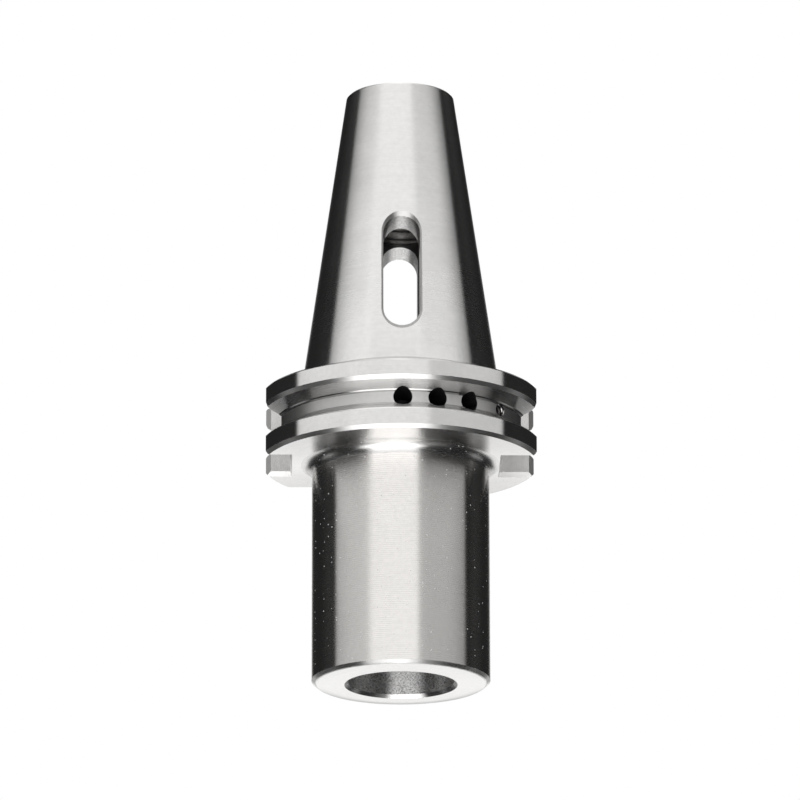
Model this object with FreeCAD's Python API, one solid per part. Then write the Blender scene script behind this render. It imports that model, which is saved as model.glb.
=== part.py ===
import FreeCAD, Part
import math
import os

V = FreeCAD.Vector
os.makedirs("parts", exist_ok=True)

# Steep-taper to Morse-taper adapter, one hardened and ground steel body with two
# small hex-socket set screws in its gripper groove. Millimetres.
# +Z is up, toward the small end of the steep taper; the nose face lies at z = 0
# and the axis is x = y = 0. The two drive slots are on -X and +X, and the drift
# slot runs through along Y.

# ---- driving dimensions -------------------------------------------------
GAUGE_Z = 70.0            # gauge plane above the nose face
GAUGE_R = 44.45 / 2       # gauge diameter 44.45
TAPER = 7.0 / 48.0        # 7:24 on diameter
TAPER_LEN = 68.4          # gauge plane to small end
SMALL_EDGE = 0.4          # chamfer at the small end
RELIEF_R = 21.75          # neck between taper and flange
RELIEF_FILLET = 1.0

FLANGE_R = 63.55 / 2
FLANGE_TOP = GAUGE_Z - 3.2
FLANGE_BOTTOM = GAUGE_Z - 19.1
FLANGE_TOP_EDGE = 0.4
FLANGE_BOTTOM_EDGE = 0.8

GROOVE_Z = GAUGE_Z - 11.1       # middle of the 60 degree gripper groove
GROOVE_R = 56.25 / 2            # floor of the groove
GROOVE_APEX_R = 25.65           # where its two flanks would meet
GROOVE_SLOPE = math.tan(math.radians(30))
GROOVE_ROOT = 0.52              # 45 degree root between flank and floor
UPPER_LAND_LOW = 63.10          # land edge above the groove, broken down to:
UPPER_EDGE_R = 31.30
LOWER_EDGE = 0.35

NOSE_R = 20.0
NOSE_EDGE = 0.95
NOSE_FILLET = 2.5

MOUTH_R = 12.66                 # countersunk mouth of the Morse socket
SOCKET_R = 23.825 / 2           # No. 3 socket at the nose face
SOCKET_SLOPE = 1.0 / 19.922 / 2
SOCKET_RELIEF_R = 10.1
SOCKET_DEPTH = 84.0
CORE_R = 7.0                    # tapping drill through to the socket
THREAD_R = 8.0                  # M16, bored here to its major diameter
THREAD_LOW = 106.0
PILOT_R = 8.5
PILOT_DEPTH = 8.2

DRIFT_W = 8.3                   # drift slot, straight through along Y
DRIFT_LOW = 78.0
DRIFT_HIGH = 105.0
DRIFT_EDGE = 1.0

SLOT_W = 16.1                   # drive slots
SLOT_FLOOR_LEFT = 25.0
SLOT_FLOOR_RIGHT = 22.8
SLOT_WALL_EDGE = 1.0            # chamfer of the walls at the nose side
SLOT_FLOOR_EDGE = 0.5
SLOT_RIM_START = 29.30          # upright chamfers at the flange rim
SLOT_TOP_EDGE = 0.4

NOTCH_Y = 18.5                  # orientation notch in the lower disc, behind left
NOTCH_X = -13.5
NOTCH_EDGE = 0.7

BALANCE_R = 4.26 / 2            # blind balancing holes in the groove
BALANCE_AZ = (0.0, 16.0, 32.0)  # degrees from -Y toward +X
BALANCE_DEPTH = 10.0

SCREW_AZ = 51.2                 # tapped hole, its twin is diametrically opposite
SCREW_R = 1.5                   # M3
SCREW_SEAT_R = 23.2             # the inner end of the screw, from the axis
SCREW_LEN = 4.0
SCREW_CLEAR = 0.02
HEX_AF = 1.5
HEX_DEPTH = 1.5

TOP_Z = GAUGE_Z + TAPER_LEN


def radial(az):
    a = math.radians(az)
    return V(math.sin(a), -math.cos(a), 0)


def turned(points):
    """A full turn about Z of the closed outline: (r, z) corners, or
    (r, z, rm, zm) for a corner reached by an arc through (rm, zm)."""
    edges = []
    last = points[0]
    for p in points[1:] + points[:1]:
        a, b = V(last[0], 0, last[1]), V(p[0], 0, p[1])
        if len(p) == 4:
            edges.append(Part.Arc(a, V(p[2], 0, p[3]), b).toShape())
        else:
            edges.append(Part.LineSegment(a, b).toShape())
        last = p
    wire = Part.Wire(edges)
    return Part.Face(wire).revolve(V(0, 0, 0), V(0, 0, 1), 360)


def prism(corners, plane, lo, hi):
    """Straight prism on a polygon: plane 'xy', 'yz' or 'xz', from lo to hi."""
    put = {
        "xy": lambda a, b: V(a, b, lo),
        "yz": lambda a, b: V(lo, a, b),
        "xz": lambda a, b: V(a, lo, b),
    }[plane]
    way = {"xy": V(0, 0, hi - lo), "yz": V(hi - lo, 0, 0), "xz": V(0, hi - lo, 0)}
    pts = [put(a, b) for a, b in corners]
    return Part.Face(Part.makePolygon(pts + pts[:1])).extrude(way[plane])


def frustum(low, z_low, high, z_high):
    """Flat-faced solid between two rectangles (x0, y0, x1, y1) at two heights."""
    rings = []
    for (x0, y0, x1, y1), z in ((low, z_low), (high, z_high)):
        rings.append([V(x0, y0, z), V(x1, y0, z), V(x1, y1, z), V(x0, y1, z)])
    a, b = rings
    quads = [a, b] + [[a[i], a[(i + 1) % 4], b[(i + 1) % 4], b[i]] for i in range(4)]
    faces = [Part.Face(Part.makePolygon(q + q[:1])) for q in quads]
    made = Part.Solid(Part.Shell(faces))
    if made.Volume < 0:
        made.reverse()
    return made


def fillet_arc(corner, a, b, r):
    """Tangent points and arc middle of a fillet at corner, between the
    directions of a and b, all as (r, z)."""
    ax, az = a[0] - corner[0], a[1] - corner[1]
    bx, bz = b[0] - corner[0], b[1] - corner[1]
    la, lb = math.hypot(ax, az), math.hypot(bx, bz)
    ax, az, bx, bz = ax / la, az / la, bx / lb, bz / lb
    half = math.acos(ax * bx + az * bz) / 2
    t = r / math.tan(half)
    mx, mz = ax + bx, az + bz
    lm = math.hypot(mx, mz)
    d = r / math.sin(half)
    mid = (corner[0] + mx / lm * (d - r), corner[1] + mz / lm * (d - r))
    p = (corner[0] + ax * t, corner[1] + az * t)
    q = (corner[0] + bx * t, corner[1] + bz * t)
    return p, mid, q


def flank(r, side):
    return GROOVE_Z + side * (r - GROOVE_APEX_R) * GROOVE_SLOPE


# ---- turned outside ------------------------------------------------------
def outside():
    top_r = GAUGE_R - TAPER_LEN * TAPER
    edge_r = top_r + SMALL_EDGE * TAPER
    root_r = GROOVE_R + GROOVE_ROOT
    np_, nm, nq = fillet_arc(
        (NOSE_R, FLANGE_BOTTOM), (NOSE_R, 0), (FLANGE_R, FLANGE_BOTTOM), NOSE_FILLET
    )
    rp, rm, rq = fillet_arc(
        (RELIEF_R, FLANGE_TOP),
        (FLANGE_R, FLANGE_TOP),
        (RELIEF_R, GAUGE_Z),
        RELIEF_FILLET,
    )
    low_edge_z = flank(FLANGE_R - LOWER_EDGE, -1)
    pts = [
        (0, 0),
        (NOSE_R - NOSE_EDGE, 0),
        (NOSE_R, NOSE_EDGE),
        np_,
        (nq[0], nq[1], nm[0], nm[1]),
        (FLANGE_R - FLANGE_BOTTOM_EDGE, FLANGE_BOTTOM),
        (FLANGE_R, FLANGE_BOTTOM + FLANGE_BOTTOM_EDGE),
        (FLANGE_R, low_edge_z - LOWER_EDGE),
        (FLANGE_R - LOWER_EDGE, low_edge_z),
        (root_r, flank(root_r, -1)),
        (GROOVE_R, flank(root_r, -1) + GROOVE_ROOT),
        (GROOVE_R, flank(root_r, 1) - GROOVE_ROOT),
        (root_r, flank(root_r, 1)),
        (UPPER_EDGE_R, flank(UPPER_EDGE_R, 1)),
        (FLANGE_R, UPPER_LAND_LOW),
        (FLANGE_R, FLANGE_TOP - FLANGE_TOP_EDGE),
        (FLANGE_R - FLANGE_TOP_EDGE, FLANGE_TOP),
        rp,
        (rq[0], rq[1], rm[0], rm[1]),
        (RELIEF_R, GAUGE_Z - (GAUGE_R - RELIEF_R)),
        (GAUGE_R, GAUGE_Z),
        (edge_r, TOP_Z - SMALL_EDGE),
        (top_r - 0.35, TOP_Z),
        (0, TOP_Z),
    ]
    return turned(pts)


# ---- bored inside ----------------------------------------------------------
def bore():
    d = (MOUTH_R - SOCKET_R) / (1 - SOCKET_SLOPE)
    relief_z = (SOCKET_R - SOCKET_RELIEF_R) / SOCKET_SLOPE
    cone = (SOCKET_RELIEF_R - CORE_R) * math.tan(math.radians(31))
    pts = [
        (0, -1),
        (MOUTH_R + 1, -1),
        (MOUTH_R, 0),
        (SOCKET_R - SOCKET_SLOPE * d, d),
        (SOCKET_RELIEF_R, relief_z),
        (SOCKET_RELIEF_R, SOCKET_DEPTH),
        (CORE_R, SOCKET_DEPTH + cone),
        (CORE_R, THREAD_LOW - 0.6),
        (THREAD_R, THREAD_LOW),
        (THREAD_R, TOP_Z - PILOT_DEPTH - 0.2),
        (PILOT_R, TOP_Z - PILOT_DEPTH),
        (PILOT_R, TOP_Z - 0.6),
        (PILOT_R + 0.6, TOP_Z),
        (PILOT_R + 1.6, TOP_Z + 1),
        (0, TOP_Z + 1),
    ]
    return turned(pts)


# ---- drift slot ------------------------------------------------------------
def stadium(half, lo, hi, at):
    """Wire of a slot outline: half width, end heights; at(x, z) gives the point."""
    b, t = lo + half, hi - half
    return Part.Wire(
        [
            Part.LineSegment(at(half, b), at(half, t)).toShape(),
            Part.Arc(at(half, t), at(0, hi), at(-half, t)).toShape(),
            Part.LineSegment(at(-half, t), at(-half, b)).toShape(),
            Part.Arc(at(-half, b), at(0, lo), at(half, b)).toShape(),
        ]
    )


def drift_slot():
    half = DRIFT_W / 2
    through = Part.Face(
        stadium(half, DRIFT_LOW, DRIFT_HIGH, lambda x, z: V(x, -40, z))
    ).extrude(V(0, 80, 0))
    made = [through]
    for side in (-1, 1):
        # the edge chamfer follows the slope of the cone at each mouth
        def depth(z, out):
            return side * (GAUGE_R - (z - GAUGE_Z) * TAPER - DRIFT_EDGE + out)

        wires = []
        for g in (-0.6, DRIFT_EDGE + 1.5):
            wires.append(
                stadium(
                    half + g,
                    DRIFT_LOW - g,
                    DRIFT_HIGH + g,
                    lambda x, z, g=g: V(x, depth(z, g), z),
                )
            )
        made.append(Part.makeLoft(wires, True, True))
    return made


# ---- drive slots ----------------------------------------------------------
def drive_slot(side, floor):
    h = SLOT_W / 2
    far = 40.0
    z0, z1 = FLANGE_BOTTOM - 3, FLANGE_TOP + 3
    reach = far - SLOT_RIM_START
    plan = [
        (floor, -h),
        (SLOT_RIM_START, -h),
        (far, -h - reach),
        (far, h + reach),
        (SLOT_RIM_START, h),
        (floor, h),
    ]
    cut = [prism([(side * x, y) for x, y in plan], "xy", z0, z1)]
    e, f = SLOT_WALL_EDGE, SLOT_FLOOR_EDGE
    k = 1.5

    def rect(grow_wall, grow_floor):
        xs = sorted((side * (floor - grow_floor), side * far))
        return (xs[0], -h - grow_wall, xs[1], h + grow_wall)

    cut.append(
        frustum(rect(e * k, f * k), FLANGE_BOTTOM - e * (k - 1), rect(0, 0), FLANGE_BOTTOM + e)
    )
    t = SLOT_TOP_EDGE
    cut.append(
        frustum(rect(0, 0), FLANGE_TOP - t, rect(t * k, t * k), FLANGE_TOP + t * (k - 1))
    )
    return cut


# ---- orientation notch -------------------------------------------------------
def notch():
    ceiling = flank(GROOVE_R, -1)
    e, k = NOTCH_EDGE, 1.5
    block = Part.makeBox(
        NOTCH_X + 40, 40 - NOTCH_Y, ceiling - 45, V(-40, NOTCH_Y, 45)
    )
    rim = frustum(
        (-40, NOTCH_Y - e * k, NOTCH_X + e * k, 40),
        FLANGE_BOTTOM - e * (k - 1),
        (-40, NOTCH_Y, NOTCH_X, 40),
        FLANGE_BOTTOM + e,
    )
    return [block, rim]


# ---- radial holes -------------------------------------------------------------
def blind_hole(az, r, outer, bottom, point=True):
    way = radial(az)
    at = V(0, 0, GROOVE_Z)
    made = Part.makeCylinder(r, outer - bottom, at + way * bottom, way)
    if point:
        tip = r * math.tan(math.radians(31))
        cone = Part.makeCone(0, r, tip, at + way * (bottom - tip), way)
        made = made.fuse(cone)
    return made


def screw_hole(az):
    tapped = blind_hole(az, SCREW_R, 34, SCREW_SEAT_R, False)
    drilled = blind_hole(az, 1.25, SCREW_SEAT_R + 1, SCREW_SEAT_R - 2.5)
    return tapped.fuse(drilled)


def set_screw(az):
    """Headless screw: chamfered ends, hex socket in the outer one."""
    way = radial(az)
    at = V(0, 0, GROOVE_Z)
    r = SCREW_R - SCREW_CLEAR
    c = 0.25
    body = turned(
        [(0, 0), (r - c, 0), (r, c), (r, SCREW_LEN - c), (r - c, SCREW_LEN), (0, SCREW_LEN)]
    )
    corner = HEX_AF / math.sqrt(3)
    pts = [
        V(
            corner * math.cos(math.radians(60 * i)),
            corner * math.sin(math.radians(60 * i)),
            SCREW_LEN - HEX_DEPTH,
        )
        for i in range(6)
    ]
    hexagon = Part.Face(Part.makePolygon(pts + pts[:1])).extrude(V(0, 0, HEX_DEPTH + 1))
    tip = Part.makeCone(
        0, HEX_AF / 2, HEX_AF / 2 * math.tan(math.radians(31)),
        V(0, 0, SCREW_LEN - HEX_DEPTH - HEX_AF / 2 * math.tan(math.radians(31))),
    )
    mouth = Part.makeCone(
        corner - 0.35, corner + 0.15, 0.5, V(0, 0, SCREW_LEN - 0.4)
    )
    body = body.cut(hexagon).cut(tip).cut(mouth)
    turn = FreeCAD.Rotation(V(0, 0, 1), way)
    body.Placement = FreeCAD.Placement(at + way * SCREW_SEAT_R, turn)
    return body


# ---- assembly ------------------------------------------------------------------
body = outside().cut(bore())
for tool in drift_slot():
    body = body.cut(tool)

for side, floor in ((-1, SLOT_FLOOR_LEFT), (1, SLOT_FLOOR_RIGHT)):
    for tool in drive_slot(side, floor):
        body = body.cut(tool)
for tool in notch():
    body = body.cut(tool)
for az in BALANCE_AZ:
    body = body.cut(blind_hole(az, BALANCE_R, 34, GROOVE_R - BALANCE_DEPTH))
for az in (SCREW_AZ, SCREW_AZ + 180):
    body = body.cut(screw_hole(az))

parts = {
    "holder_body": body,
    "set_screw_right": set_screw(SCREW_AZ),
    "set_screw_left": set_screw(SCREW_AZ + 180),
}

for name, shape in parts.items():
    solids = shape.Solids
    assert len(solids) == 1, (name, len(solids))
    solid = solids[0]
    assert solid.isValid(), name
    solid.exportStep("parts/%s.step" % name)
    b = solid.BoundBox
    print(
        "%-16s volume %.1f mm3  box x %.2f..%.2f y %.2f..%.2f z %.2f..%.2f  faces %d"
        % (name, solid.Volume, b.XMin, b.XMax, b.YMin, b.YMax, b.ZMin, b.ZMax, len(solid.Faces))
    )
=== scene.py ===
import math

import bpy
import numpy as np
from mathutils import Matrix, Vector


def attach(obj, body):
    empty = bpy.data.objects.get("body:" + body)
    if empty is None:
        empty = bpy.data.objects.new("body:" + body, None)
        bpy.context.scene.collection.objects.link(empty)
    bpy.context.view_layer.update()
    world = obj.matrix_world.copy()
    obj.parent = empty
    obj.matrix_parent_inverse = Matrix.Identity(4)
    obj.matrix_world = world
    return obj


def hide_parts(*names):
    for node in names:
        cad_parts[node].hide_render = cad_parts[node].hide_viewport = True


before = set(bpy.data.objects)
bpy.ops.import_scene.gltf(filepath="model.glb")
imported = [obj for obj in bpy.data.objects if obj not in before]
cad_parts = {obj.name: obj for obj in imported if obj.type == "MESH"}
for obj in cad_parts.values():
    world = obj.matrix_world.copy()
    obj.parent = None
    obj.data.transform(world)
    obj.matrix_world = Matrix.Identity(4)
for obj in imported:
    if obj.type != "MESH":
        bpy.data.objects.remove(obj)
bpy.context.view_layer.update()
scene = bpy.context.scene
MM = 0.001

# ---------------------------------------------------------------- dimensions
# The same sizes as the solid, in millimetres.
GAUGE_Z, GAUGE_R, TAPER, TAPER_LEN = 70.0, 22.225, 7.0 / 48.0, 68.4
TOP_Z = GAUGE_Z + TAPER_LEN
SMALL_EDGE, RELIEF_R, RELIEF_FILLET = 0.4, 21.75, 1.0
FLANGE_R, FLANGE_TOP, FLANGE_BOTTOM = 31.775, 66.8, 50.9
FLANGE_TOP_EDGE, FLANGE_BOTTOM_EDGE = 0.4, 0.8
GROOVE_Z, GROOVE_R, GROOVE_APEX_R, GROOVE_ROOT = 58.9, 28.125, 25.65, 0.52
UPPER_LAND_LOW, UPPER_EDGE_R, LOWER_EDGE = 63.10, 31.30, 0.35
NOSE_R, NOSE_EDGE, NOSE_EDGE_ROUND, NOSE_FILLET = 20.0, 0.95, 1.1, 2.5
MOUTH_R, SOCKET_R, SOCKET_SLOPE = 12.66, 11.9125, 1.0 / 19.922 / 2
SOCKET_RELIEF_R, SOCKET_DEPTH, CORE_R = 10.1, 84.0, 7.0
THREAD_R, THREAD_LOW, PILOT_R, PILOT_DEPTH = 8.0, 106.0, 8.5, 8.2
DRIFT_W, DRIFT_LOW, DRIFT_HIGH, DRIFT_EDGE = 8.3, 78.0, 105.0, 1.0
SLOT_W, SLOT_FLOOR_LEFT, SLOT_FLOOR_RIGHT = 16.1, 25.0, 22.8
SLOT_WALL_EDGE, SLOT_FLOOR_EDGE, SLOT_RIM_START, SLOT_TOP_EDGE = 1.0, 0.5, 29.30, 0.4
NOTCH_Y, NOTCH_X, NOTCH_EDGE = 18.5, -13.5, 0.7
BALANCE_R, BALANCE_AZ, BALANCE_DEPTH = 2.13, (0.0, 16.0, 32.0), 10.0
SCREW_AZ, SCREW_R, SCREW_SEAT_R, SCREW_LEN = 51.2, 1.5, 23.2, 4.0

STEPS = 360          # faces round the axis


# ------------------------------------------------------------ turned profile
def flank(r, side):
    return GROOVE_Z + side * (r - GROOVE_APEX_R) * math.tan(math.radians(30))


class Profile:
    """Closed outline in (r, z) with the metal on its left. Each span keeps the
    name of its surface and, on an arc, the arc's centre and sense."""

    def __init__(self, r, z):
        self.points = [(r, z)]
        self.spans = []

    def line(self, r, z, name, parts=1):
        r0, z0 = self.points[-1]
        for i in range(1, parts + 1):
            t = i / parts
            self.points.append((r0 + (r - r0) * t, z0 + (z - z0) * t))
            self.spans.append((name, None))

    def fillet(self, corner, toward, radius, name, parts):
        """From the current point round a fillet at corner, and on toward a point."""
        last = self.points[-1]
        a = Vector((last[0] - corner[0], last[1] - corner[1])).normalized()
        b = Vector((toward[0] - corner[0], toward[1] - corner[1])).normalized()
        half = a.angle(b) / 2
        t = radius / math.tan(half)
        c = Vector(corner)
        p, q = c + a * t, c + b * t
        centre = c + (a + b).normalized() * radius / math.sin(half)
        self.line(p.x, p.y, name)
        u, v = p - centre, q - centre
        turn = math.atan2(u.x * v.y - u.y * v.x, u.dot(v))
        for i in range(1, parts + 1):
            f = turn * i / parts
            w = Vector((u.x * math.cos(f) - u.y * math.sin(f), u.x * math.sin(f) + u.y * math.cos(f)))
            self.points.append((centre.x + w.x, centre.y + w.y))
            self.spans.append((name + "_fillet", (centre.x, centre.y, 1 if turn > 0 else -1)))


def outline():
    top_r = GAUGE_R - TAPER_LEN * TAPER
    root_r = GROOVE_R + GROOVE_ROOT
    low_edge = flank(FLANGE_R - LOWER_EDGE, -1)
    d = (MOUTH_R - SOCKET_R) / (1 - SOCKET_SLOPE)
    relief_z = (SOCKET_R - SOCKET_RELIEF_R) / SOCKET_SLOPE
    cone = (SOCKET_RELIEF_R - CORE_R) * math.tan(math.radians(31))
    p = Profile(MOUTH_R, 0)
    p.fillet((NOSE_R - 2.8, 0), (NOSE_R - NOSE_EDGE, 0.2), 32.0, "nose_face", 8)
    p.fillet((NOSE_R - NOSE_EDGE, 0.2), (NOSE_R, NOSE_EDGE), NOSE_EDGE_ROUND, "nose_rim", 6)
    p.line(NOSE_R, NOSE_EDGE, "nose_chamfer")
    p.line(NOSE_R, FLANGE_BOTTOM - NOSE_FILLET, "nose", 4)
    p.fillet((NOSE_R, FLANGE_BOTTOM), (FLANGE_R, FLANGE_BOTTOM), NOSE_FILLET, "nose", 14)
    p.line(FLANGE_R - FLANGE_BOTTOM_EDGE, FLANGE_BOTTOM, "underside")
    p.line(FLANGE_R, FLANGE_BOTTOM + FLANGE_BOTTOM_EDGE, "bottom_chamfer")
    p.line(FLANGE_R, low_edge - LOWER_EDGE, "lower_land")
    p.line(FLANGE_R - LOWER_EDGE, low_edge, "low_edge")
    p.line(root_r, flank(root_r, -1), "low_flank")
    p.line(GROOVE_R, flank(root_r, -1) + GROOVE_ROOT, "low_root")
    p.line(GROOVE_R, flank(root_r, 1) - GROOVE_ROOT, "groove_floor")
    p.line(root_r - 0.15, flank(root_r, 1) - 0.26, "high_root")
    p.line(root_r, flank(root_r, 1), "high_root")
    p.line(UPPER_EDGE_R, flank(UPPER_EDGE_R, 1), "high_flank")
    p.line(FLANGE_R, UPPER_LAND_LOW, "high_edge")
    p.line(FLANGE_R, FLANGE_TOP - FLANGE_TOP_EDGE, "upper_land")
    p.line(FLANGE_R - FLANGE_TOP_EDGE, FLANGE_TOP, "top_chamfer")
    p.fillet((RELIEF_R, FLANGE_TOP), (RELIEF_R, GAUGE_Z), RELIEF_FILLET, "flange_top", 8)
    p.line(RELIEF_R, GAUGE_Z - (GAUGE_R - RELIEF_R), "neck")
    p.line(GAUGE_R, GAUGE_Z, "neck_cone")
    p.line(top_r + SMALL_EDGE * TAPER, TOP_Z - SMALL_EDGE, "taper", 6)
    p.line(top_r - 0.35, TOP_Z, "small_edge")
    p.line(PILOT_R + 0.6, TOP_Z, "small_face")
    p.line(PILOT_R, TOP_Z - 0.6, "pilot_edge")
    p.line(PILOT_R, TOP_Z - PILOT_DEPTH, "pilot")
    p.line(THREAD_R, TOP_Z - PILOT_DEPTH - 0.2, "pilot_floor")
    p.line(THREAD_R, THREAD_LOW, "thread_wall", 2)
    p.line(CORE_R, THREAD_LOW - 0.6, "thread_end")
    p.line(CORE_R, SOCKET_DEPTH + cone, "core", 2)
    p.line(SOCKET_RELIEF_R, SOCKET_DEPTH, "socket_end")
    p.line(SOCKET_RELIEF_R, relief_z, "relief", 2)
    p.line(SOCKET_R - SOCKET_SLOPE * 11.0, 11.0, "socket_inner", 3)
    p.line(SOCKET_R - SOCKET_SLOPE * d, d, "socket")
    p.line(MOUTH_R, 0, "mouth_chamfer")
    assert math.hypot(p.points[0][0] - p.points[-1][0], p.points[0][1] - p.points[-1][1]) < 1e-9
    p.points.pop()
    return p


# -------------------------------------------------------------- mesh helpers
def new_object(name, verts, faces):
    me = bpy.data.meshes.new(name)
    me.from_pydata([tuple(c * MM for c in v) for v in verts], [], faces)
    me.validate()
    me.update()
    ob = bpy.data.objects.new(name, me)
    scene.collection.objects.link(ob)
    return ob


def revolve(name, points, steps):
    n = len(points)
    verts, faces = [], []
    for s in range(steps):
        a = 2 * math.pi * s / steps
        c, si = math.cos(a), math.sin(a)
        verts += [(r * c, r * si, z) for r, z in points]
    for s in range(steps):
        t = (s + 1) % steps
        for i in range(n):
            j = (i + 1) % n
            faces.append((s * n + i, t * n + i, t * n + j, s * n + j))
    return new_object(name, verts, faces)


def loft(rings):
    """Closed skin through rings of equal length, the first and last capped."""
    n = len(rings[0])
    verts = [v for ring in rings for v in ring]
    faces = [tuple(reversed(range(n)))]
    for k in range(len(rings) - 1):
        for i in range(n):
            j = (i + 1) % n
            faces.append((k * n + i, k * n + j, (k + 1) * n + j, (k + 1) * n + i))
    last = (len(rings) - 1) * n
    faces.append(tuple(last + i for i in range(n)))
    return verts, faces


def radial(az):
    a = math.radians(az)
    return Vector((math.sin(a), -math.cos(a), 0))


def bored(az, sections, steps=64):
    """Round cutter along a radius of the groove: (distance from the axis, radius)."""
    way = radial(az)
    side = Vector((way.y, -way.x, 0))
    up = Vector((0, 0, 1))
    rings = []
    for dist, r in sections:
        rings.append([
            tuple(Vector((0, 0, GROOVE_Z)) + way * dist
                  + side * (r * math.cos(2 * math.pi * i / steps))
                  + up * (r * math.sin(2 * math.pi * i / steps)))
            for i in range(steps)
        ])
    return loft(rings)


def stadium_ring(g, at, arc=24):
    half = DRIFT_W / 2
    lo, hi = DRIFT_LOW + half, DRIFT_HIGH - half
    ring = []
    for i in range(arc + 1):
        a = math.pi * i / arc
        ring.append(at((half + g) * math.cos(a), hi + (half + g) * math.sin(a)))
    for i in range(arc + 1):
        a = math.pi + math.pi * i / arc
        ring.append(at((half + g) * math.cos(a), lo + (half + g) * math.sin(a)))
    return ring


def drift_cutter():
    def at(side, g):
        return lambda x, z: (x, side * (GAUGE_R - (z - GAUGE_Z) * TAPER - DRIFT_EDGE + g), z)
    rings = [
        stadium_ring(DRIFT_EDGE + 1.5, at(-1, DRIFT_EDGE + 1.5)),
        stadium_ring(0, at(-1, 0)),
        stadium_ring(0, at(1, 0)),
        stadium_ring(DRIFT_EDGE + 1.5, at(1, DRIFT_EDGE + 1.5)),
    ]
    return loft(rings)


def slot_cutter(side, floor):
    h, far = SLOT_W / 2, 34.0
    e, f, t, k = SLOT_WALL_EDGE, SLOT_FLOOR_EDGE, SLOT_TOP_EDGE, 1.5

    def ring(z, eg, fg):
        w = h + far - SLOT_RIM_START
        pts = [(floor - fg, -h - eg), (SLOT_RIM_START + eg, -h - eg), (far, -w),
               (far, w), (SLOT_RIM_START + eg, h + eg), (floor - fg, h + eg)]
        return [(side * x, y, z) for x, y in pts]

    return loft([
        ring(FLANGE_BOTTOM - e * (k - 1), e * k, f * k),
        ring(FLANGE_BOTTOM + e, 0, 0),
        ring(FLANGE_TOP - t, 0, 0),
        ring(FLANGE_TOP + t * (k - 1), t * k, t * k),
    ])


def notch_cutter():
    e, k = NOTCH_EDGE, 1.5

    def ring(z, g):
        return [(-36, NOTCH_Y - g, z), (NOTCH_X + g, NOTCH_Y - g, z), (NOTCH_X + g, 36, z), (-36, 36, z)]

    return loft([
        ring(FLANGE_BOTTOM - e * (k - 1), e * k),
        ring(FLANGE_BOTTOM + e, 0),
        ring(flank(GROOVE_R, -1), 0),
    ])


def outward(ob):
    """Turns every closed shell of the mesh to face outward."""
    import bmesh
    bm = bmesh.new()
    bm.from_mesh(ob.data)
    bmesh.ops.recalc_face_normals(bm, faces=bm.faces[:])
    bm.to_mesh(ob.data)
    bm.free()


def weld(me):
    """Joins points closer than 0.0003 mm and drops the slivers between them."""
    import bmesh
    bm = bmesh.new()
    bm.from_mesh(me)
    bmesh.ops.remove_doubles(bm, verts=bm.verts[:], dist=3e-7)
    bmesh.ops.dissolve_degenerate(bm, dist=1e-7, edges=bm.edges[:])
    bm.to_mesh(me)
    bm.free()
    me.update()


def build_body():
    prof = outline()
    body = revolve("holder", prof.points, STEPS)
    outward(body)
    parts = [drift_cutter(), slot_cutter(-1, SLOT_FLOOR_LEFT), slot_cutter(1, SLOT_FLOOR_RIGHT), notch_cutter()]
    tip = BALANCE_R * math.tan(math.radians(31))
    low = GROOVE_R - BALANCE_DEPTH
    for az in BALANCE_AZ:
        parts.append(bored(az, [(34, BALANCE_R), (low, BALANCE_R), (low - tip, 0.02)]))
    for az in (SCREW_AZ, SCREW_AZ + 180):
        end = SCREW_SEAT_R - 2.5
        parts.append(bored(az, [(34, SCREW_R), (SCREW_SEAT_R, SCREW_R), (SCREW_SEAT_R, 1.25),
                                (end, 1.25), (end - 0.75, 0.02)], 48))
    verts, faces = [], []
    for v, f in parts:
        base = len(verts)
        verts += v
        faces += [tuple(base + i for i in q) for q in f]
    cutter = new_object("cutter", verts, faces)
    outward(cutter)
    mod = body.modifiers.new("cut", "BOOLEAN")
    mod.operation = "DIFFERENCE"
    mod.solver = "EXACT"
    mod.object = cutter
    dg = bpy.context.evaluated_depsgraph_get()
    cut = bpy.data.meshes.new_from_object(body.evaluated_get(dg))
    body.modifiers.clear()
    weld(cut)
    old = body.data
    body.data = cut
    bpy.data.meshes.remove(old)
    spare = cutter.data
    bpy.data.objects.remove(cutter)
    bpy.data.meshes.remove(spare)
    return body, prof


# ------------------------------------------------ surfaces and exact normals
FINISH = {
    "nose_face": "faced", "nose_face_fillet": "faced", "nose_rim": "faced", "nose_rim_fillet": "nose_edge",
    "nose_chamfer": "nose_edge", "nose": "nose", "nose_fillet": "fillet",
    "underside": "underside", "bottom_chamfer": "edge", "lower_land": "land", "low_edge": "low_edge",
    "low_flank": "low_flank", "low_root": "low_root", "groove_floor": "groove", "high_root": "root",
    "high_flank": "flank",
    "high_edge": "edge", "upper_land": "land", "top_chamfer": "top_edge", "flange_top": "underside",
    "flange_top_fillet": "fillet", "neck": "root", "neck_cone": "root", "taper": "taper",
    "small_edge": "edge", "small_face": "faced", "pilot_edge": "pilot", "pilot": "pilot",
    "pilot_floor": "pilot", "thread_wall": "bore", "thread_end": "bore", "core": "bore",
    "socket_end": "bore", "relief": "bore", "socket_inner": "socket_inner", "socket": "socket",
    "mouth_chamfer": "mouth_edge",
}


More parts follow.
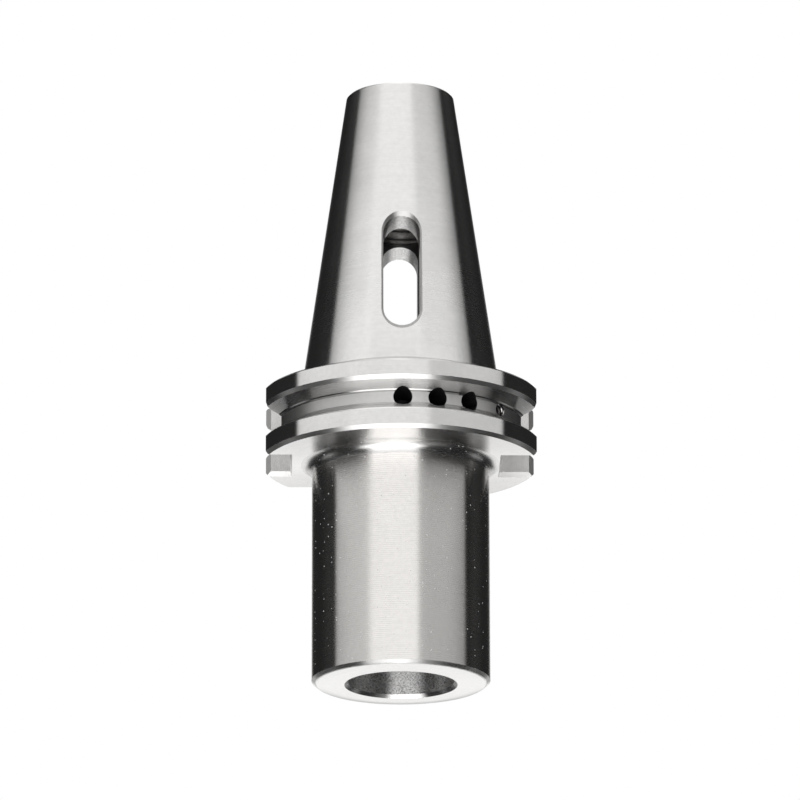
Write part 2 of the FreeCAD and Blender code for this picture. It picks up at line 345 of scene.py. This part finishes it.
def finish_body(body, prof, materials):
    """Gives each face the finish of the surface it lies on, and each corner of a
    turned face that surface's exact normal."""
    me = body.data
    names = sorted(materials)
    me.materials.clear()
    for n in names:
        me.materials.append(materials[n])
    index = {n: i for i, n in enumerate(names)}

    pts = np.array(prof.points)
    nxt = np.roll(pts, -1, axis=0)
    d = nxt - pts
    ln = np.linalg.norm(d, axis=1)
    seg_n = np.stack([d[:, 1], -d[:, 0]], 1) / ln[:, None]

    nf = len(me.polygons)
    fn = np.zeros(nf * 3, np.float32); me.polygons.foreach_get("normal", fn); fn = fn.reshape(-1, 3)
    fc = np.zeros(nf * 3, np.float32); me.polygons.foreach_get("center", fc); fc = fc.reshape(-1, 3) / MM
    start = np.zeros(nf, np.int32); me.polygons.foreach_get("loop_start", start)
    total = np.zeros(nf, np.int32); me.polygons.foreach_get("loop_total", total)
    co = np.zeros(len(me.vertices) * 3, np.float32); me.vertices.foreach_get("co", co)
    co = co.reshape(-1, 3).astype(float) / MM
    li = np.zeros(len(me.loops), np.int32); me.loops.foreach_get("vertex_index", li)

    # the mean of a face's corners lies on its chord, just inside the true radius
    owner = np.repeat(np.arange(nf), total)
    cr = np.hypot(co[:, 0], co[:, 1])
    mean_r = np.bincount(owner, cr[li], nf) / total
    mean_z = np.bincount(owner, co[li, 2], nf) / total
    spread = np.zeros(nf)
    mid = np.stack([fc[:, 0], fc[:, 1]], 1)
    mid /= np.maximum(np.linalg.norm(mid, axis=1)[:, None], 1e-9)
    n2 = np.stack([(fn[:, :2] * mid).sum(1), fn[:, 2]], 1)
    turnedness = np.linalg.norm(n2, axis=1)

    seg = np.full(nf, -1)
    best = np.full(nf, 1e9)
    for j in range(len(pts)):
        rel = np.stack([mean_r, mean_z], 1) - pts[j]
        along = rel @ (d[j] / ln[j])
        off = np.abs(rel @ seg_n[j])
        agree = (n2 @ seg_n[j]) / np.maximum(turnedness, 1e-9)
        tol = 0.02 if prof.spans[j][1] is None else 0.03
        ok = (along > -0.02) & (along < ln[j] + 0.02) & (off < tol) & (agree > math.cos(math.radians(4.5))) & (turnedness > 0.9995)
        take = ok & (off < best)
        seg[take] = j
        best[take] = off[take]

    corner = np.repeat(fn, total, axis=0).astype(float)
    rv = co[li, :2] / np.maximum(cr[li][:, None], 1e-9)
    s = seg[owner]
    on = s >= 0
    cn2 = np.zeros((len(li), 2))
    cn2[on] = seg_n[s[on]]
    for j, (name, arc) in enumerate(prof.spans):
        if arc is None:
            continue
        m = on & (s == j)
        v = np.stack([cr[li[m]] - arc[0], co[li[m], 2] - arc[1]], 1)
        v /= np.linalg.norm(v, axis=1)[:, None]
        v *= np.sign((v * seg_n[j]).sum(1))[:, None]
        cn2[m] = v
    corner[on] = np.stack([rv[on, 0] * cn2[on, 0], rv[on, 1] * cn2[on, 0], cn2[on, 1]], 1)

    # milled and drilled faces: corners average over neighbours within 25 degrees
    rest = np.where(~on)[0]
    by_vertex = {}
    for l in rest:
        by_vertex.setdefault(int(li[l]), []).append(l)
    area = np.zeros(nf, np.float32); me.polygons.foreach_get("area", area)
    limit = math.cos(math.radians(25))
    for ls in by_vertex.values():
        if len(ls) < 2:
            continue
        f = owner[ls]
        nn = fn[f].astype(float)
        w = np.sqrt(np.maximum(area[f], 1e-16))
        close = (nn @ nn.T) > limit
        av = (close * w[None, :]) @ nn
        corner[ls] = av / np.linalg.norm(av, axis=1)[:, None]

    mat = np.zeros(nf, np.int32)
    for i in range(nf):
        if seg[i] >= 0:
            mat[i] = index[FINISH[prof.spans[seg[i]][0]]]
    loose = seg < 0
    x, y, z = fc[:, 0], fc[:, 1], fc[:, 2]
    reach = np.hypot(x, y)
    in_drift = loose & (z > 76) & (z < 108)
    in_slot = loose & (np.abs(y) < 11) & (np.abs(x) > 21) & (z < 70)
    in_notch = loose & (y > 16) & (x < -11) & (z < 58)
    # hole walls take the drilled finish, whose dark colour is painted shade inside the holes
    mat[loose] = index["drilled"]
    mat[in_drift] = index["drift"]
    mat[in_drift & (np.abs(fn[:, 1]) > 0.3)] = index["drift_edge"]
    mat[in_slot | in_notch] = index["milled"]
    mat[(in_slot | in_notch) & (np.max(np.abs(fn), axis=1) < 0.98)] = index["slot_edge"]
    me.polygons.foreach_set("material_index", mat)
    me.polygons.foreach_set("use_smooth", np.ones(nf, bool))
    me.update()
    me.normals_split_custom_set(corner.tolist())
    me.update()
    return {n: int((mat == index[n]).sum()) for n in names}


def helix_ridge(name, frame_at, r_root, r_crest, base, crest, pitch, z0, z1, z_phase, steps):
    """Ridge of a right-hand internal thread: axis and origin from frame_at, z0 and
    z1 the first and last height of its middle, z_phase its height where the turn
    angle is 0. It fades into the wall over a third of a turn at each end."""
    t0 = (z0 - z_phase) / pitch * 2 * math.pi
    t1 = (z1 - z_phase) / pitch * 2 * math.pi
    count = max(8, int(abs(t1 - t0) / (2 * math.pi) * steps))
    rings = []
    fade = 2 * math.pi / 3
    for i in range(count + 1):
        t = t0 + (t1 - t0) * i / count
        z = z_phase + pitch * t / (2 * math.pi)
        grow = min(1.0, (t - t0) / fade + 0.02, (t1 - t) / fade + 0.02)
        top = r_root + (r_crest - r_root) * grow
        half = crest / 2 + (base - crest) / 2 * (1 - grow) * 0.0
        under = r_root + 0.03 * pitch
        section = [(under, -base / 2), (r_root, -base / 2), (top, -half * 1.0), (top, half), (r_root, base / 2), (under, base / 2)]
        rings.append([tuple(frame_at(r * math.cos(t), r * math.sin(t), z + dz)) for r, dz in section])
    verts, faces = loft(rings)
    ob = new_object(name, verts, faces)
    outward(ob)
    for poly in ob.data.polygons:
        poly.use_smooth = True
    ob.data.set_sharp_from_angle(angle=math.radians(22))
    return ob


# ------------------------------------------------------------------ materials
class Nodes:
    def __init__(self, tree):
        self.t = tree

    def new(self, kind, values=(), **props):
        n = self.t.nodes.new(kind)
        for k, v in props.items():
            setattr(n, k, v)
        for key, v in dict(values).items():
            self.put(n.inputs[key], v)
        return n

    def put(self, socket, v):
        if isinstance(v, bpy.types.NodeSocket):
            self.t.links.new(v, socket)
        else:
            socket.default_value = v

    def math(self, op, *vals, clamp=False):
        n = self.t.nodes.new("ShaderNodeMath")
        n.operation = op
        n.use_clamp = clamp
        for i, v in enumerate(vals):
            self.put(n.inputs[i], v)
        return n.outputs[0]

    def vec(self, op, *vals):
        n = self.t.nodes.new("ShaderNodeVectorMath")
        n.operation = op
        for i, v in enumerate(vals):
            self.put(n.inputs[i], v)
        return n.outputs["Value"] if op in ("LENGTH", "DOT_PRODUCT") else n.outputs[0]

    def combine(self, x, y, z):
        n = self.new("ShaderNodeCombineXYZ", {0: x, 1: y, 2: z})
        return n.outputs[0]

    def ramp(self, v, lo, hi, a=0.0, b=1.0, smooth=True):
        n = self.new("ShaderNodeMapRange", {"Value": v, "From Min": lo, "From Max": hi, "To Min": a, "To Max": b},
                     interpolation_type="SMOOTHSTEP" if smooth else "LINEAR", clamp=True)
        return n.outputs[0]

    def noise(self, vector, scale=1.0, detail=2.0, rough=0.5, w=None):
        n = self.t.nodes.new("ShaderNodeTexNoise")
        n.noise_dimensions = "3D" if w is None else "4D"
        self.put(n.inputs["Vector"], vector)
        if w is not None:
            self.put(n.inputs["W"], w)
        n.inputs["Scale"].default_value = scale
        n.inputs["Detail"].default_value = detail
        n.inputs["Roughness"].default_value = rough
        return n.outputs["Fac"]

    def cells(self, vector, scale):
        n = self.t.nodes.new("ShaderNodeTexVoronoi")
        n.feature = "F1"
        self.put(n.inputs["Vector"], vector)
        n.inputs["Scale"].default_value = scale
        return n.outputs["Distance"], n.outputs["Color"]

    def mix(self, f, a, b):
        n = self.t.nodes.new("ShaderNodeMix")
        n.data_type = "FLOAT"
        self.put(n.inputs[0], f)
        self.put(n.inputs[2], a)
        self.put(n.inputs[3], b)
        return n.outputs[0]

    def mix_colour(self, f, a, b):
        n = self.t.nodes.new("ShaderNodeMix")
        n.data_type = "RGBA"
        self.put(n.inputs[0], f)
        self.put(n.inputs[6], a)
        self.put(n.inputs[7], b)
        return n.outputs[2]


def steel(name, colour, rough, aniso, rings=1.0, ring_pitch=0.45, specks=1.0, mottle=0.15,
          grain="round", speckle=0.0, rough_var=0.08, turned=0.0, streaks=0.0, dust=0.0,
          grit_scale=4.0, matt_up=0.0):
    """Machined steel. grain is the way the tool marks run: round the axis, upright,
    or none. turned is the tone of the regular marks of the feed, streaks that of
    long uneven ones, dust the amount of pale lint. matt_up is the roughness gained
    from the gauge plane to the small end. Lengths inside are in millimetres."""
    m = bpy.data.materials.new(name)
    m.use_nodes = True
    m.node_tree.nodes.clear()
    N = Nodes(m.node_tree)
    out = N.new("ShaderNodeOutputMaterial")
    bsdf = N.new("ShaderNodeBsdfPrincipled")
    m.node_tree.links.new(bsdf.outputs[0], out.inputs[0])
    bsdf.inputs["Metallic"].default_value = 1.0
    bsdf.inputs["Anisotropic"].default_value = aniso

    at = N.new("ShaderNodeTexCoord").outputs["Object"]
    mm = N.vec("MULTIPLY", at, (1000.0, 1000.0, 1000.0))
    sep = N.new("ShaderNodeSeparateXYZ", {0: mm})
    x, y, z = sep.outputs
    flat = N.combine(x, y, 0.0)
    r = N.vec("LENGTH", flat)
    way = N.new("ShaderNodeSeparateXYZ", {0: N.vec("NORMALIZE", flat)})
    cx, cy = way.outputs[0], way.outputs[1]
    geo = N.new("ShaderNodeNewGeometry")

    if grain == "round":
        tangent = N.new("ShaderNodeTangent", direction_type="RADIAL", axis="Z").outputs[0]
        bsdf.inputs["Anisotropic Rotation"].default_value = 0.25
        N.put(bsdf.inputs["Tangent"], tangent)

        def lines(f, slow, detail):
            v = N.combine(N.math("MULTIPLY", r, f), N.math("MULTIPLY", z, f), N.math("MULTIPLY", cx, slow))
            return N.noise(v, 1.0, detail, 0.6, w=N.math("MULTIPLY", cy, slow))
    elif grain == "upright":
        N.put(bsdf.inputs["Tangent"], N.vec("CROSS_PRODUCT", geo.outputs["Normal"], (0.0, 0.0, 1.0)))

        def lines(f, slow, detail):
            v = N.combine(N.math("MULTIPLY", x, f), N.math("MULTIPLY", y, f), N.math("MULTIPLY", z, slow * 0.15))
            return N.noise(v, 1.0, detail, 0.6)
    else:
        def lines(f, slow, detail):
            return N.noise(mm, f, detail, 0.6)

    fine = lines(2.0 / ring_pitch, 3.0, 3.0)
    coarse = lines(0.5 / ring_pitch, 1.2, 2.0)
    blotch = N.noise(mm, 0.12, 3.0, 0.55)
    cloud = N.noise(mm, 0.9, 3.0, 0.6)

    # sparse dust and nicks
    dist, col = N.cells(mm, 0.55)
    pick = N.new("ShaderNodeSeparateColor", {0: col}).outputs[0]
    size = N.math("MULTIPLY", N.math("SUBTRACT", pick, 0.80, clamp=True), 0.30 * specks)
    speck = N.math("LESS_THAN", dist, size)

    rough_s = N.math("ADD", rough, N.math("MULTIPLY", N.math("SUBTRACT", fine, 0.5), rough_var))
    rough_s = N.math("ADD", rough_s, N.math("MULTIPLY", N.math("SUBTRACT", blotch, 0.5), mottle * 0.4))
    if matt_up:
        rough_s = N.math("ADD", rough_s, N.ramp(z, GAUGE_Z, TOP_Z, 0.0, matt_up, smooth=False))
    rough_s = N.math("MAXIMUM", rough_s, N.math("MULTIPLY", speck, 0.75))

    tone = N.math("ADD", 1.0, N.math("MULTIPLY", N.math("SUBTRACT", fine, 0.5), 0.10))
    if turned:
        wave = N.math("SINE", N.math("MULTIPLY", N.math("ADD", z, r), 2 * math.pi / ring_pitch))
        depth = N.ramp(lines(0.25, 2.0, 2.0), 0.40, 0.62, 0.25, 1.0)
        tone = N.math("ADD", tone, N.math("MULTIPLY", N.math("MULTIPLY", wave, depth), turned))
    if streaks:
        long = N.math("SUBTRACT", lines(1.1, 1.6, 3.0), 0.5)
        tone = N.math("ADD", tone, N.math("MULTIPLY", long, 2.0 * streaks))
    tone = N.math("MULTIPLY", tone, N.math("ADD", 1.0, N.math("MULTIPLY", N.math("SUBTRACT", cloud, 0.5), mottle)))
    if speckle:
        grit = N.noise(mm, grit_scale, 2.0, 0.7)
        tone = N.math("MULTIPLY", tone, N.ramp(grit, 0.36, 0.66, 1.0 - 0.38 * speckle, 1.0 + 0.25 * speckle, smooth=False))
        rough_s = N.math("ADD", rough_s, N.math("MULTIPLY", N.math("SUBTRACT", grit, 0.5), -0.3))
    base = N.vec("SCALE", colour)
    base.node.inputs["Scale"].default_value = 1.0
    N.put(base.node.inputs["Scale"], tone)
    if dust:
        far, mark = N.cells(mm, 1.1)
        lot = N.new("ShaderNodeSeparateColor", {0: mark}).outputs[0]
        wide = N.math("MULTIPLY", N.math("SUBTRACT", lot, 1.0 - 0.10 * dust, clamp=True), 1.6)
        fleck = N.math("LESS_THAN", far, N.math("MINIMUM", wide, 0.17))
        base = N.mix_colour(fleck, base, (0.80, 0.80, 0.80, 1))
        N.put(bsdf.inputs["Metallic"], N.math("SUBTRACT", 1.0, fleck))
        rough_s = N.math("MAXIMUM", rough_s, N.math("MULTIPLY", fleck, 0.9))
    N.put(bsdf.inputs["Base Color"], base)
    N.put(bsdf.inputs["Roughness"], N.math("ADD", rough_s, 0.0, clamp=True))

    height = N.math("ADD", N.math("MULTIPLY", fine, 0.6), N.math("MULTIPLY", coarse, 0.5))
    bump = N.new("ShaderNodeBump", {"Height": height, "Strength": 1.0, "Distance": 1.2e-6 * rings})
    normal = bump.outputs[0]
    if speckle:
        b2 = N.new("ShaderNodeBump", {"Height": grit, "Strength": 1.0, "Distance": 1e-5 * speckle, "Normal": normal})
        normal = b2.outputs[0]
    N.put(bsdf.inputs["Normal"], normal)
    return m


STEEL = (0.72, 0.713, 0.705)


def tint(k):
    return tuple(c * k for c in STEEL)


finishes = {
    "nose": steel("steel_nose", (0.852, 0.832, 0.812), 0.26, 1.00, rings=0.35, turned=0.05, ring_pitch=0.45, dust=2.5),
    "taper": steel("steel_taper", tint(1.18), 0.25, 1.00, rings=0.5, ring_pitch=0.30, streaks=0.05, specks=0.4,
                   matt_up=0.09),
    "land": steel("steel_land", tint(1.27), 0.16, 1.00, rings=0.5, ring_pitch=0.30, streaks=0.03),
    "faced": steel("steel_faced", tint(1.18), 0.10, 1.00, rings=0.4, ring_pitch=0.35, streaks=0.02),
    "underside": steel("steel_underside", tint(1.17), 0.22, 1.00, rings=0.6, ring_pitch=0.35, streaks=0.02, dust=1.0),
    "fillet": steel("steel_fillet", tint(1.05), 0.27, 0.80, rings=0.5, ring_pitch=0.35, dust=2.5),
    "edge": steel("steel_edge", tint(1.28), 0.34, 0.85, rings=0.4, ring_pitch=0.30, specks=0.2),
    "nose_edge": steel("steel_nose_edge", tint(1.20), 0.24, 1.00, rings=0.4, ring_pitch=0.30, specks=0.2),
    "low_edge": steel("steel_low_edge", tint(1.33), 0.36, 1.00, rings=0.4, ring_pitch=0.30, specks=0.2),
    "top_edge": steel("steel_top_edge", tint(1.20), 0.10, 1.00, rings=0.4, ring_pitch=0.30, specks=0.2),
    "mouth_edge": steel("steel_mouth_edge", tint(1.30), 0.22, 1.00, rings=0.4, ring_pitch=0.30, specks=0.2),
    "flank": steel("steel_flank", tint(1.10), 0.26, 1.00, rings=0.6, ring_pitch=0.30, streaks=0.03),
    # low_flank: the same finish as flank, with a darker colour that is painted shade on the lower side of the groove
    "low_flank": steel("steel_low_flank_painted_shade", tint(0.82), 0.24, 1.00, rings=0.6, ring_pitch=0.30, streaks=0.03),
    "root": steel("steel_root", tint(1.00), 0.20, 0.90, rings=0.4, ring_pitch=0.30, specks=0.2),
    "low_root": steel("steel_low_root", tint(0.90), 0.36, 0.85, rings=0.4, ring_pitch=0.30, specks=0.2),
    "groove": steel("steel_groove", tint(0.96), 0.42, 0.50, rings=1.2, ring_pitch=0.30, streaks=0.04),
    # socket and socket_inner are lit and shaded copies of one reamed taper: the colour is painted light near the mouth
    # and painted shade further in
    "socket": steel("steel_socket", tint(1.36), 0.42, 1.00, rings=0.8, ring_pitch=0.30, speckle=1.9, specks=0.5),
    "socket_inner": steel("steel_socket_inner_painted_shade", tint(0.52), 0.34, 1.00, rings=0.8, ring_pitch=0.30, specks=0.5),
    # bore: the near-black colour is painted shade deep inside the bore
    "bore": steel("steel_bore_painted_shade", (0.17, 0.168, 0.165), 0.42, 0.6, rings=1.5, ring_pitch=0.4),
    "pilot": steel("steel_pilot", tint(0.80), 0.30, 0.9, rings=0.8, ring_pitch=0.35, streaks=0.03, specks=0.4),
    "thread": steel("steel_thread", tint(1.35), 0.17, 0.5, rings=0.5, ring_pitch=0.3, specks=0.2),
    "drift": steel("steel_drift", tint(1.02), 0.31, 0.30, rings=1.5, ring_pitch=0.3, grain="none", mottle=0.4,
                   speckle=1.1, grit_scale=2.6),
    "drift_edge": steel("steel_drift_edge", tint(1.02), 0.44, 0.60, rings=0.5, ring_pitch=0.3, specks=0.2),
    "milled": steel("steel_milled", tint(1.20), 0.28, 1.00, rings=2.0, ring_pitch=0.35, grain="upright", streaks=0.10),
    "slot_edge": steel("steel_slot_edge", tint(1.30), 0.42, 0.85, rings=0.5, ring_pitch=0.3, specks=0.2),
    # drilled: the near-black colour is painted shade inside the holes
    "drilled": steel("steel_drilled_painted_shade", (0.10, 0.10, 0.10), 0.5, 0.3, ring_pitch=0.3),
}
screw_steel = steel("steel_screw", (0.16, 0.155, 0.15), 0.35, 0.3, rings=1.0, ring_pitch=0.3, grain="none", speckle=0.6, specks=0.6)

# -------------------------------------------------------------------- pieces
body, prof = build_body()
counts = finish_body(body, prof, finishes)
print("body faces", len(body.data.polygons), counts)
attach(body, "root")
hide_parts("holder_body")

thread = helix_ridge("stud_thread", lambda a, b, z: Vector((a, b, z)), THREAD_R, 6.92, 1.75, 0.5, 2.0,
                     THREAD_LOW - 0.5, TOP_Z - PILOT_DEPTH - 1.0, 106.25 - 0.5, 96)
thread.data.materials.append(finishes["thread"])
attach(thread, "root")

for name, az in (("right", SCREW_AZ), ("left", SCREW_AZ + 180)):
    way = radial(az)
    side = Vector((0, 0, 1)).cross(way)

    def put(a, b, z, way=way, side=side):
        return Vector((0, 0, GROOVE_Z)) + side * a + Vector((0, 0, 1)) * b + way * z

    mouth = helix_ridge("screw_thread_" + name, put, SCREW_R, 1.25, 0.44, 0.12, 0.5,
                        SCREW_SEAT_R + SCREW_LEN + 0.15, 27.95, SCREW_SEAT_R + SCREW_LEN + 0.2, 48)
    mouth.data.materials.append(finishes["root"])
    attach(mouth, "root")
    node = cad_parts["set_screw_" + name]
    for s in node.material_slots:
        s.material = screw_steel

# --------------------------------------------------------------------- camera
LOC = Vector((-25.243331, -1375.156498, -342.836228)) * MM
YAW, PITCH, ROLL, FOCAL = 0.018271, 0.289233, -0.001678, 6338.635
fw = Vector((math.sin(YAW) * math.cos(PITCH), math.cos(YAW) * math.cos(PITCH), math.sin(PITCH)))
right = Vector((math.cos(YAW), -math.sin(YAW), 0))
up = right.cross(fw)
r2 = right * math.cos(ROLL) + up * math.sin(ROLL)
u2 = up * math.cos(ROLL) - right * math.sin(ROLL)
cam = bpy.data.cameras.new("camera")
cam.sensor_fit = "HORIZONTAL"
cam.sensor_width = 36.0
cam.lens = FOCAL * 36.0 / 800.0
cam.clip_start, cam.clip_end = 0.05, 100.0
cam_ob = bpy.data.objects.new("camera", cam)
m = Matrix.Identity(4)
for i in range(3):
    m[i][0], m[i][1], m[i][2], m[i][3] = r2[i], u2[i], -fw[i], LOC[i]
cam_ob.matrix_world = m
scene.collection.objects.link(cam_ob)
scene.camera = cam_ob

# ---------------------------------------------------------------------- floor
floor_me = bpy.data.meshes.new("floor")
S = 6.0
floor_me.from_pydata([(-S, -S, -0.0001), (S, -S, -0.0001), (S, S, -0.0001), (-S, S, -0.0001)], [], [(0, 1, 2, 3)])
floor = bpy.data.objects.new("floor", floor_me)
scene.collection.objects.link(floor)
fm = bpy.data.materials.new("pale_floor")
fm.use_nodes = True
fm.node_tree.nodes.clear()
F = Nodes(fm.node_tree)
fo = F.new("ShaderNodeOutputMaterial")
under = F.new("ShaderNodeNewGeometry").outputs["Backfacing"]
pale = F.new("ShaderNodeBsdfDiffuse", {"Color": (0.93, 0.93, 0.925, 1)})
clear = F.new("ShaderNodeBsdfTransparent")
ms = F.new("ShaderNodeMixShader")
F.put(ms.inputs[0], under)
F.put(ms.inputs[1], pale.outputs[0])
F.put(ms.inputs[2], clear.outputs[0])
F.put(fo.inputs[0], ms.outputs[0])
floor_me.materials.append(fm)
floor.visible_glossy = floor.visible_diffuse = floor.visible_shadow = floor.visible_transmission = False

# ------------------------------------------------------------------- lighting
# A plain studio, by direction. Azimuth runs from the camera side (-Y) toward +X,
# elevation up from the horizon, both in degrees. Each card has a brightness that
# changes evenly between the elevations listed.
FRONT = ((-88, 2.08), (-68, 2.11), (-45, 1.84), (-20, 1.47), (0, 1.15), (14, 0.70), (24, 0.64), (42, 1.05), (90, 1.17))
LEFT = ((0, 0.0), (8, 0.36), (14, 0.58), (19, 1.04), (28, 1.20), (42, 1.11), (90, 1.31))
RIGHT = ((0, 0.0), (10, 0.02), (14, 0.36), (18, 1.02), (28, 0.80), (42, 1.36), (90, 0.82))
BEHIND = ((-75, 0.90), (-45, 1.18), (-22, 0.98), (-12, 1.03), (-6, 0.52), (-2, 0.60), (8, 1.30), (25, 0.0), (42, 1.58), (65, 1.52))
FRONT_LEFT, FRONT_RIGHT = (-40.6, 13.3, 39.0), (21.5, 8.35, 22.3)    # edge, softness, spread over the bench
SIDE_LEFT, SIDE_RIGHT = (-94.65, 3.5, 3.0), (91.8, 4.0, 3.0)         # edge, softness, how far in it stands higher up
BEHIND_LEFT, BEHIND_RIGHT = -160.0, 157.5
LOW_LEFT, LOW_RIGHT, LOW = (-121.0, -99.0), (104.0, 127.0), 0.32      # strips low at the sides
BENCH, CEILING, ROOM = 0.35, 0.80, 0.018

world = bpy.data.worlds.new("studio")
scene.world = world
world.use_nodes = True
world.node_tree.nodes.clear()
W = Nodes(world.node_tree)
wo = W.new("ShaderNodeOutputWorld")
ray = W.new("ShaderNodeTexCoord").outputs["Generated"]
ws = W.new("ShaderNodeSeparateXYZ", {0: W.vec("NORMALIZE", ray)})
az = W.math("DEGREES", W.math("ARCTAN2", ws.outputs[0], W.math("MULTIPLY", ws.outputs[1], -1.0)))
el = W.math("DEGREES", W.math("ARCSINE", ws.outputs[2]))


def curve(points):
    out = points[0][1]
    for (x0, y0), (x1, y1) in zip(points, points[1:]):
        out = W.math("ADD", out, W.ramp(el, x0, x1, 0.0, y1 - y0, smooth=False))
    return out


def past(edge, soft):
    """0 to the left of the edge and 1 to its right."""
    half = W.math("MULTIPLY", soft, 0.5)
    n = W.new("ShaderNodeMapRange", {"Value": az, "From Min": W.math("SUBTRACT", edge, half),
                                     "From Max": W.math("ADD", edge, half), "To Min": 0.0, "To Max": 1.0},
              interpolation_type="SMOOTHSTEP", clamp=True)
    return n.outputs[0]


def inverse(v):
    return W.math("SUBTRACT", 1.0, v)


def band(a, b):
    return W.math("MULTIPLY", past(a, 8.0), inverse(past(b, 8.0)))


down = W.ramp(el, -25.0, -65.0)
wide = W.math("MULTIPLY_ADD", down, 1.0, 1.0)
front = W.math(
    "MULTIPLY",
    past(W.math("MULTIPLY_ADD", down, -FRONT_LEFT[2], FRONT_LEFT[0]), W.math("MULTIPLY", wide, FRONT_LEFT[1])),
    inverse(past(W.math("MULTIPLY_ADD", down, FRONT_RIGHT[2], FRONT_RIGHT[0]), W.math("MULTIPLY", wide, FRONT_RIGHT[1]))),
)
side = W.mix(W.math("GREATER_THAN", az, -10.0), curve(LEFT), curve(RIGHT))
high = W.ramp(el, 23.0, 33.0)
side = W.math(
    "MULTIPLY", side,
    W.math(
        "MULTIPLY",
        past(W.math("MULTIPLY_ADD", high, SIDE_LEFT[2], SIDE_LEFT[0]), W.math("MULTIPLY_ADD", high, 34.0, SIDE_LEFT[1])),
        inverse(past(W.math("MULTIPLY_ADD", high, -SIDE_RIGHT[2], SIDE_RIGHT[0]), W.math("MULTIPLY_ADD", high, 28.0, SIDE_RIGHT[1]))),
    ),
)
narrow = W.math("MULTIPLY", W.ramp(el, -14.0, -4.0), 6.0)
behind = W.math("MAXIMUM", inverse(past(W.math("SUBTRACT", BEHIND_LEFT, narrow), 14.0)),
                past(W.math("ADD", BEHIND_RIGHT, narrow), 14.0))
low = W.math("MULTIPLY", W.ramp(el, -38.0, -30.0), W.ramp(el, -9.0, -17.0))
low = W.math("MULTIPLY", low, W.math("MAXIMUM", band(*LOW_LEFT), band(*LOW_RIGHT)))
level = W.mix(front, side, curve(FRONT))
level = W.math("MAXIMUM", level, W.math("MULTIPLY", low, LOW))
level = W.math("MAXIMUM", level, W.math("MULTIPLY", behind, curve(BEHIND)))
level = W.math("MAXIMUM", level, W.ramp(el, -55.0, -75.0, 0.0, BENCH))
level = W.math("MAXIMUM", level, W.ramp(el, 50.0, 70.0, 0.0, CEILING))
level = W.math("MAXIMUM", level, ROOM)
light = W.new("ShaderNodeBackground", {"Strength": level})
light.inputs["Color"].default_value = (1.0, 0.999, 0.996, 1)
sky = W.new("ShaderNodeBackground", {"Strength": 1.0})
sky.inputs["Color"].default_value = (1, 1, 1, 1)
wm = W.new("ShaderNodeMixShader")
W.put(wm.inputs[0], W.new("ShaderNodeLightPath").outputs["Is Camera Ray"])
W.put(wm.inputs[1], light.outputs[0])
W.put(wm.inputs[2], sky.outputs[0])
W.put(wo.inputs[0], wm.outputs[0])

scene.view_settings.view_transform = "Standard"
scene.view_settings.look = "None"
